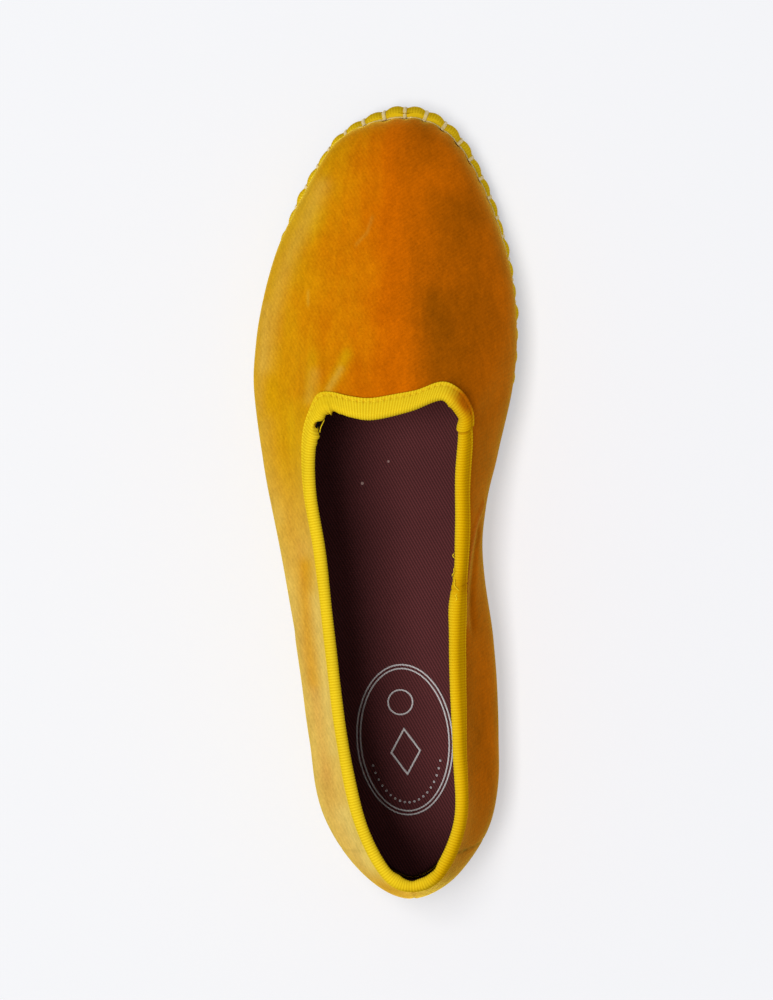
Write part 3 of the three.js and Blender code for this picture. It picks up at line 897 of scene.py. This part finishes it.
def make_collar_ribbon():
    """The collar ribbon: its skin swells by a cosine for each rib and a bump for each gather, rises where one
    end lies over the other, and dips along the stitch row and at each needle hole. A plain skin closes it
    behind."""
    ribs = int(round(RIM_RUN[-1] / RIB_PITCH))
    number = np.arange(ribs * RIB_STEPS)[:, None] / RIB_STEPS
    run = run_between(number / ribs * RIM_RUN[-1], 0.0)
    outer, fold, inner = shares = (OUTER_LEG_SHARES, FOLD_SHARES, INNER_LEG_SHARES)
    legs = len(outer)
    size = sum(len(part) for part in shares)
    inwards = np.concatenate([0 * outer, np.sin(np.pi * fold / 2), 1 - 0.6 * inner])
    ahead = np.concatenate([0.2 * outer, 0.2 + 0.4 * fold, 0.6 + 0.4 * inner])
    from_edge = outer * outer_leg_at(run)
    messy = bell(run_between(run, JOIN_RUN), JOIN_HALF)
    flattened = np.maximum(0.7 * messy, 0.5 * bell(run_between(run, FLAT_RUN), 5.0))
    crest = (0.5 + 0.5 * np.cos(2 * np.pi * number)) * (1 - flattened)
    swell = bumps_along(run, GATHERS)
    end = OVERLAP[0] + 2.4 * (ahead - 0.5) ** 2
    over = smooth(end - 0.3, end + 0.5, run) * (1 - smooth(OVERLAP[1], OVERLAP[1] + 6, run))
    tangle = TANGLE_HEIGHT * messy * wander(9 * ahead + 2.6 * run, 0.4)
    clearance = SEAM_GAP + RIBBON + RIB_HEIGHT * crest + RIBBON_SWELL * wander(run / 11, 2.1)
    clearance = clearance + swell * inwards + OVERLAP_RISE * over + tangle
    phase = np.mod(run / RIM_RUN[-1] * COLLAR_STITCHES, 1.0) - 0.5
    row = bell(from_edge - ROW_FROM_EDGE, ROW_HALF)
    hole = bell(phase * COLLAR_STITCH_PITCH, HOLE_HALF) * row * smooth(0.3, 0.7, rim_normal(run)[..., 2])
    shaded = ribbon_shaded(run)
    # Painted shade on the outer leg and the fold's outer side, less right at the ribbon's edge
    painted_shade_share = shaded * smooth(0.62, 0.22, ahead)
    painted_shade_share[:, :legs] *= 1 - 0.5 * bell(from_edge, 0.8)
    bead = BEAD_HEIGHT * bell(from_edge - BEAD_FROM_EDGE, BEAD_HALF)
    clearance[:, :legs] += bead - ROW_DEPTH * row - HOLE_DEPTH * hole
    skin = binding_skin(run, clearance, shares)
    back_shares = (np.array([0.0, 1.0]), BACK_FOLD_SHARES, np.array([0.0, 1.0]))
    back_size = sum(len(part) for part in back_shares)
    back = binding_skin(run, np.full((len(run), back_size), SEAM_GAP), back_shares)
    points = np.concatenate([skin, back[:, ::-1]], axis=1)
    # Painted shade at the inner corner, where the wall faces the inner side, in the needle holes, along the
    # stitch row and under the end of the overlapping ribbon; the join of the two ends is darker in patches
    corner = bell(run_between(run, CORNER_RUN), 4.5)
    outermost = smooth(0.36, 0.2, ahead)
    painted_shade_and_join_marks = (0.12 * shaded + 0.85 * corner) * outermost + 0.3 * messy * (0.5 + 0.5 * wander(8 * ahead, 1.0))
    painted_shade_and_join_marks[:, :legs] += 0.25 * hole * (1 - corner) + (0.06 + 0.25 * shaded) * row
    painted_shade_and_join_marks += 0.45 * bell(run - end + 0.2, 0.5) + 0.16 * corner
    # Marks: painted shade, painted light on the ribs' crests, and painted shade with the darker join
    marks = {
        "shaded": backed(painted_shade_share, back_size),
        "rib": backed(np.repeat(crest, size, axis=1), back_size),
        "painted_shade_and_join_marks": backed(painted_shade_and_join_marks, back_size),
    }
    add_grid(
        "collar_ribbon", COLLAR_RIBBON, points,
        marks=marks, slot="collar_ribbon", replaces=("collar_binding",),
    )


def cord_points(centres, normals, half_width, half_height, around, square_ends):
    """Short cords side by side: round each centre an ellipse stands square to the way on, and it shrinks to
    nothing at both ends as the root of 1 less an even power of the share of the way."""
    along = unit(np.gradient(centres, axis=1))
    side = unit(np.cross(along, normals))
    rise = np.cross(side, along)
    share = np.linspace(-1, 1, centres.shape[1])
    taper = np.sqrt(np.clip(1 - share**square_ends, 0.001, None))[None, :, None]
    turn = np.linspace(0, 2 * np.pi, around, endpoint=False)
    wide = times(taper * half_width * np.cos(turn), side[:, :, None])
    high = times(taper * half_height * np.sin(turn), rise[:, :, None])
    return centres[:, :, None] + wide + high


def add_cords(name, finish, points, **settings):
    """A piece of short cords: the cells of each cord's own grid, closed round the cord."""
    count, steps, around = points.shape[:3]
    one = grid_quads(steps, around, close_columns=True)
    quads = (np.arange(count)[:, None, None] * steps * around + one).reshape(-1, 4)
    return add_piece(name, finish, points, quads, **settings)


def make_collar_stitches():
    """The stitch row on the ribbon's outer leg: short raised cords end to end, from needle hole to needle
    hole, along a line at one distance from the ribbon's edge."""
    share = np.linspace(-STITCH_REACH, STITCH_REACH, 6)
    run = (np.arange(COLLAR_STITCHES)[:, None] + share[None, :]) / COLLAR_STITCHES * RIM_RUN[-1]
    run = run_between(run, 0.0)
    t = rim_place(run)
    v = below_rim(t, outer_leg_at(run) - ROW_FROM_EDGE)
    bow = 0.1 * (1 - (share / STITCH_REACH) ** 2)
    sunk = 0.3 * smooth(0.7, 0.3, rim_normal(run)[..., 2])
    centres = wall_point(t, v, sunk - (SEAM_GAP + RIBBON - 0.12 + bow[None, :]))
    sizes = (COLLAR_STITCH_HALF_WIDTH, COLLAR_STITCH_HALF_HEIGHT)
    points = cord_points(centres, wall_normal(t, v), *sizes, 6, 4)
    # The same painted shade as on the ribbon under the stitches
    shaded = np.broadcast_to(ribbon_shaded(run)[..., None], points.shape[:3])
    marks = {"rib": np.full(points.shape[:3], 0.9), "shaded": shaded}
    add_cords("collar_stitches", COLLAR_RIBBON, points, marks=marks, slot="collar_ribbon")


# Loose threads across the slipped fold and where the ribbon's two ends meet: run and share of the fold at
# both ends of each, and how far it bows off
LOOSE_THREADS = np.array([
    (20.9, 0.9, 25.4, 0.85, -0.3),
    (-83.8, 0.62, -87.5, 0.34, 0.2),
    (-88.2, 0.36, -90.6, 0.44, 0.15),
    (-80.4, 0.58, -83.2, 0.74, 0.15),
    (-77.4, 0.72, -76.0, 0.8, 0.2),
])
THREAD_RADIUS = 0.15


def make_loose_threads():
    """Loose threads on the fold: each goes evenly from one run and share of the fold to the next, at the
    fold's own radius, with a little wave, and bows off it as half a sine."""
    run0, share0, run1, share1, bow = LOOSE_THREADS.T[..., None]
    way = np.linspace(0, 1, 12)[None, :]
    run = run0 + (run1 - run0) * way
    share = share0 + (share1 - share0) * way + 0.05 * np.sin(7 * way + run0)
    centre, normal, rising = binding_frame(rim_place(run))
    radius = WALL / 2 + SEAM_GAP + RIBBON + RIB_HEIGHT + THREAD_RADIUS + bow * np.sin(np.pi * way)
    outwards = times(np.cos(share * np.pi), normal) + times(np.sin(share * np.pi), rising)
    points = cord_points(centre + times(radius, outwards), outwards, THREAD_RADIUS, THREAD_RADIUS, 6, 8)
    marks = {"rib": np.ones(points.shape[:3])}
    add_cords("loose_threads", COLLAR_RIBBON, points, marks=marks, slot="collar_ribbon")


# Sole ribbon and its stitches
SOLE_RIBS_PER_PILLOW = 8
SOLE_RIB_HEIGHT = 0.05
SIDE_ROUNDING = 1.1
SIDE_SHARES = np.array([0, 0.03, 0.08, 0.16, 0.28, 0.4, 0.52, 0.64, 0.76, 0.86, 0.93, 0.975, 1.0])
STITCH_SIDE_SHARES = np.array([0.97, 0.9, 0.78, 0.62, 0.44, 0.26, 0.12, 0.02])
WHIP_ON_VELVET = np.array([1.5, 0.8, 0.2])
WHIP_HALF_WIDTH = 0.58
WHIP_HALF_HEIGHT = 0.3
JOIN_THREAD_RADIUS = 0.26
JOIN_THREAD_STEPS = 18
JOIN_THREAD_TWISTS = 4


def side_drawn_in(share, number):
    """How far the sole's side lies in from its edge: a fourth power of the distance from mid height, and more
    at each whole number, where a stitch draws the ribbon in."""
    by_stitch = PILLOW_DEPTH * np.abs(np.cos(np.pi * number)) ** PILLOW_ROUNDNESS
    return SIDE_ROUNDING * np.abs(2 * share - 1) ** 4 + by_stitch


def make_sole_ribbon():
    """The ribbon round the sole: the side's profile at each place, with a cosine for each rib between the
    stitches and a pillow that is a little fuller here and there."""
    steps = SOLE_RIBS_PER_PILLOW * RIB_STEPS
    number = np.arange(PILLOWS * steps)[None, :] / steps
    share = SIDE_SHARES[:, None]
    t = pillow_place(number)
    open_part = np.abs(np.sin(np.pi * number))
    crest = 0.5 + 0.5 * np.cos(2 * np.pi * number * SOLE_RIBS_PER_PILLOW)
    fuller = 0.22 * open_part * wander(np.floor(number) * 2.4, 0.5) * (1 - (2 * share - 1) ** 2)
    drawn = side_drawn_in(share, number) - SOLE_RIB_HEIGHT * crest * open_part - fuller
    height = MIDSOLE_BOTTOM + share * MIDSOLE_THICKNESS
    points = sole_point(t) - times(drawn, outward(t)) + times(height + 0 * number, UP)
    # Painted light on each rib's crest, fading to painted shade where a stitch draws the ribbon in
    rib = np.broadcast_to(crest * open_part**0.3, points.shape[:2])
    levels, size = points.shape[:2]
    quads = grid_quads(levels, size, close_columns=True)[:, [0, 3, 2, 1]]
    bottom = ladder_triangles(size, 0)[:, ::-1]
    top = ladder_triangles(size, (levels - 1) * size)
    add_piece(
        "sole_ribbon", SOLE_RIBBON, points, quads, np.concatenate([bottom, top]),
        marks={"rib": rib}, slot="sole_ribbon", replaces=("midsole",),
    )


def make_whip_stitches():
    """The whip stitches: each leaves the velvet just above the sole, goes over the sole's top edge and down
    its side between two pillows, and turns in under it."""
    stitch = np.arange(PILLOWS)[:, None]
    t = pillow_place(stitch + 0.06 * wander(stitch * 1.9, 0.3))
    out = outward(t)
    first = wall_outside(t, 0 * t)
    climb = np.linalg.norm(wall_outside(t, 0 * t + FINE) - first, axis=-1) / FINE
    velvet_v = WHIP_ON_VELVET[None, :] / climb
    on_velvet = wall_point(t, velvet_v, -0.1)
    velvet_normals = wall_normal(np.broadcast_to(t, velvet_v.shape), velvet_v)
    share = STITCH_SIDE_SHARES[None, :]
    drawn = side_drawn_in(share, 0.0 * t) - 0.12
    height = MIDSOLE_BOTTOM + share * MIDSOLE_THICKNESS
    on_side = sole_point(t) - times(drawn, out) + times(height + 0 * t, UP)
    tilt = np.abs(2 * share - 1) ** 5 * np.sign(2 * share - 1)
    side_normals = unit(out + times(1.2 * tilt + 0 * t, UP))
    under = sole_point(t) - times(side_drawn_in(0.0, 0.0) + 1.2 + 0 * t, out) + (MIDSOLE_BOTTOM - 0.05) * UP
    centres = np.concatenate([on_velvet, on_side, under], axis=1)
    normals = np.concatenate([velvet_normals, side_normals, unit(out - 2 * UP)], axis=1)
    points = cord_points(centres, normals, WHIP_HALF_WIDTH, WHIP_HALF_HEIGHT, 8, 12)
    add_cords("whip_stitches", THREAD, points)


def make_join_thread():
    """The thread along the join of velvet and sole: two plies twisted, so that its round is an ellipse that
    turns along it, dipping into the join at each whip stitch."""
    number = np.arange(PILLOWS * JOIN_THREAD_STEPS) / JOIN_THREAD_STEPS
    t = pillow_place(number)
    out = outward(t)
    at_stitch = np.abs(np.cos(np.pi * number)) ** 4
    drawn = column(t, "ledge") - 0.2 + 0.25 * at_stitch
    lift = FEATHER_HEIGHT + 0.15 - 0.3 * at_stitch
    centre = sole_point(t) - times(drawn, out) + times(lift, UP)
    turn = np.linspace(0, 2 * np.pi, 8, endpoint=False)[None, :]
    twist = 2 * np.pi * JOIN_THREAD_TWISTS * number[:, None]
    radius = JOIN_THREAD_RADIUS * (1 + 0.22 * np.cos(2 * turn - twist))
    side = times(radius * np.cos(turn), out[:, None])
    points = centre[:, None] + side + times(radius * np.sin(turn), UP)
    add_grid("join_thread", THREAD, points)


# Steps along and across the grids of the footbed and the rubber sole
FOOTBED_STEPS = (150, 44)
RUBBER_STEPS = (560, 40)


def sole_grid(steps, inset):
    """Rungs across the sole, from the toe to the heel: each goes from a point of the outer side to its
    partner on the inner side, both drawn in from the edge by an inset, in steps that are finer at the ends.
    Gives the points, and how far each lies from the nearer end."""
    number = np.linspace(0, PILLOWS_PER_SIDE, steps[0] + 1)
    places = (pillow_place(number), pillow_place(PILLOWS - number))
    outer, inner = (sole_point(t) - times(inset(t), outward(t)) for t in places)
    width = np.linalg.norm(inner - outer, axis=-1)[:, None]
    share = (0.5 - 0.5 * np.cos(np.linspace(0, np.pi, steps[1])))[None, :]
    points = outer[:, None] + times(share, (inner - outer)[:, None])
    return points, np.minimum(share, 1 - share) * width


def make_footbed():
    """The footbed: rungs from side to side at the insole's top, rounded down at both edges, with a slow
    wander where the cloth lies on its padding, and a flat underside."""
    across, from_edge = sole_grid(FOOTBED_STEPS, lambda t: column(t, "ledge") + WALL + 2 * SEAM_GAP)
    uneven = 0.1 * wander(across[..., 0] / 8, 0.2) * wander(across[..., 1] / 14, 1.1)
    top_height = INSOLE_TOP - INSOLE_ROUNDING * np.exp(-from_edge / 0.5) + uneven * smooth(0, 5, from_edge)
    top = across + times(top_height, UP)
    under = across[:, ::-6] + FEATHER_HEIGHT * UP
    points = np.concatenate([top, under], axis=1)
    add_grid("footbed", FOOTBED_TWILL, points, close_rows=False, slot="insole_twill", replaces=("insole",))


# Print on the footbed: its middle and lean, the width of its lines, and how far they stand over the cloth
PRINT_MIDDLE = (6.0, -75.5)
PRINT_LEAN = np.radians(4.4)
PRINT_LINE = 0.5
PRINT_LIFT = 0.16
PRINT_THICKNESS = 0.05

# Two ovals, a small ring and a lozenge, by their middles and half axes
PRINT_OVALS = ((0.0, 0.0, 15.2, 23.9), (0.0, 0.0, 14.1, 22.7), (-0.5, 12.0, 3.9, 3.9))
OVAL_STEPS = 240
LOZENGE = (0.0, -3.8, 4.6, 7.2)
LOZENGE_LINE = (0.7, 1.1)
LOZENGE_STEPS = 160

# Dots in a row on an oval, each a small ring
DOT_HALF = 0.25
DOT_LINE = 0.25
DOT_STEPS = 12
DOT_OVAL = (11.6, 20.0)
DOT_TURNS = np.radians(np.linspace(202, 338, 19))


def printed(x, y, height):
    """A place on the print: leant about its middle and lifted by a height above the cloth."""
    lean_x = x * np.cos(PRINT_LEAN) - y * np.sin(PRINT_LEAN) + PRINT_MIDDLE[0]
    lean_y = x * np.sin(PRINT_LEAN) + y * np.cos(PRINT_LEAN) + PRINT_MIDDLE[1]
    return stack(lean_x, lean_y, INSOLE_TOP + PRINT_LIFT + height)


def printed_ring(middle_x, middle_y, across, along, line, steps, pointed=False):
    """A closed line of print between two ellipses about a middle or, where pointed, two lozenges, on which
    the shares of both half axes add up to 1, with a thin rim."""
    turn = np.linspace(0, 2 * np.pi, steps, endpoint=False)[:, None]
    edge = np.array([-0.5, 0.5, 0.5, -0.5])[None, :]
    height = np.array([0, 0, -1, -1])[None, :] * PRINT_THICKNESS
    reach = 1 / (np.abs(np.cos(turn)) + np.abs(np.sin(turn))) if pointed else 1.0
    x = middle_x + (across + line[0] * edge) * reach * np.cos(turn)
    y = middle_y + (along + line[1] * edge) * reach * np.sin(turn)
    points = printed(x, y, height + 0 * turn)
    return points.reshape(-1, 3), grid_quads(steps, 4, close_rows=True, close_columns=True)[:, ::-1]


def make_print():
    """The print: two ovals and a small ring, a lozenge, and a row of dots on an oval of their own."""
    bands = [printed_ring(*oval, (PRINT_LINE, PRINT_LINE), OVAL_STEPS) for oval in PRINT_OVALS]
    bands.append(printed_ring(*LOZENGE, LOZENGE_LINE, LOZENGE_STEPS, pointed=True))
    for turn in DOT_TURNS:
        x, y = DOT_OVAL[0] * np.cos(turn), DOT_OVAL[1] * np.sin(turn)
        bands.append(printed_ring(x, y, DOT_HALF, DOT_HALF, (DOT_LINE, DOT_LINE), DOT_STEPS))
    firsts = np.cumsum([0] + [len(points) for points, _ in bands])
    quads = np.concatenate([first + cells for first, (_, cells) in zip(firsts, bands)])
    points = np.concatenate([points for points, _ in bands])
    add_piece("footbed_print", INK, points, quads, slot="insole_twill")


# Tread of the rubber sole: fine bars across it, with a plain rim
TREAD_PITCH = 3.6
TREAD_DEPTH = 0.7
TREAD_RIM = 5.0


def make_outsole():
    """The rubber sole: rungs from side to side, with fine bars across the underside whose grooves are a
    power of a cosine, a plain rim and a rounded lower edge, and a flat top."""
    across, from_edge = sole_grid(RUBBER_STEPS, lambda t: RUBBER_INSET + RUBBER_TOE_TUCK * toeward(t))
    wavy = across[..., 1] + 1.2 * np.sin(across[..., 0] / 2.6)
    groove = np.abs(np.cos(np.pi * wavy / TREAD_PITCH)) ** 4
    inside = smooth(TREAD_RIM - 0.8, TREAD_RIM, from_edge)
    bottom_height = TREAD_DEPTH * groove * inside + RUBBER_BEVEL * np.exp(-from_edge / 0.45)
    bottom = across + times(bottom_height, UP)
    top = across[:, ::3] + OUTSOLE_THICKNESS * UP
    points = np.concatenate([top, bottom[:, ::-1]], axis=1)
    add_grid("rubber_outsole", RUBBER, points, close_rows=False, slot="sole_rubber", replaces=("outsole",))


make_velvet()
make_lining()
make_collar_ribbon()
make_collar_stitches()
make_loose_threads()
make_sole_ribbon()
make_whip_stitches()
make_join_thread()
make_footbed()
make_print()
make_outsole()

# Camera: as high over the floor and as far to the inner side as in the photograph, turned to the shoe
CAMERA_PLACE = Vector((0.0524, -0.0008, 1.5))
CAMERA_AIM = Vector((0.0, 0.0, 0.02))
SENSOR = 36.0
FRAME_HEIGHT_AT_SHOE = 0.318


def set_up(name, data, place, turn):
    """The camera or a light, put at a place and turned by a quaternion."""
    thing = bpy.data.objects.new(name, data)
    scene.collection.objects.link(thing)
    thing.location = place
    thing.rotation_mode = "QUATERNION"
    thing.rotation_quaternion = turn
    return thing


look = CAMERA_AIM - CAMERA_PLACE
back = -look.normalized()
right = Vector((0.0, 1.0, 0.0)).cross(back).normalized()
upright = Matrix((right, back.cross(right), back)).transposed().to_quaternion()
camera_data = bpy.data.cameras.new("camera")
camera_data.sensor_width = SENSOR
camera_data.lens = SENSOR * look.length / FRAME_HEIGHT_AT_SHOE
camera_data.clip_start = 0.01
camera_data.clip_end = 50.0
scene.camera = set_up("camera", camera_data, CAMERA_PLACE, upright)


def add_softbox(name, place, sizes, power, pieces):
    """A soft light at a place, turned to the shoe, with two side lengths, that falls on some pieces."""
    data = bpy.data.lights.new(name, "AREA")
    data.shape = "RECTANGLE"
    data.size, data.size_y = sizes
    data.energy = power
    light = set_up(name, data, place, (CAMERA_AIM - Vector(place)).to_track_quat("-Z", "Y"))
    light.light_linking.receiver_collection = pieces


add_softbox("main_softbox", (-0.62, -0.25, 1.75), (0.9, 0.9), 29.5, shoe_pieces)
add_softbox("side_softbox", (-1.45, -0.55, 0.85), (0.9, 0.9), 6.0, shoe_pieces)
add_softbox("inner_softbox", (1.3, 0.1, 0.9), (0.9, 0.9), 5.5, shoe_pieces)
add_softbox("front_softbox", (-0.2, 1.35, 0.95), (0.9, 0.9), 3.0, shoe_pieces)
add_softbox("floor_softbox", (-0.24, 0.0, 2.0), (0.9, 0.4), 28.0, stage_pieces)

world = bpy.data.worlds.new("studio")
world.use_nodes = True
sky = world.node_tree.nodes["Background"]
sky.inputs["Color"].default_value = colour(1.0, 1.0, 1.0)
sky.inputs["Strength"].default_value = 0.27
scene.world = world
scene.view_settings.view_transform = "Standard"

# Floor: a plain pale sheet that gives back a little light of its own, so that its shadow stays soft
FLOOR_HALF = 4.0
floor_mesh = bpy.data.meshes.new("floor")
corners = [(x * FLOOR_HALF, y * FLOOR_HALF, 0) for x, y in ((-1, -1), (1, -1), (1, 1), (-1, 1))]
floor_mesh.from_pydata(corners, [], [(0, 1, 2, 3)])
floor_finish = Finish("pale_floor", {
    "Base Color": colour(0.5, 0.5, 0.5),
    "Roughness": 0.9,
    "Specular IOR Level": 0.0,
    "Emission Color": colour(0.985, 1.0, 1.06),
    "Emission Strength": 0.455,
})
floor_mesh.materials.append(floor_finish.material)
floor = bpy.data.objects.new("floor", floor_mesh)
scene.collection.objects.link(floor)
stage_pieces.objects.link(floor)
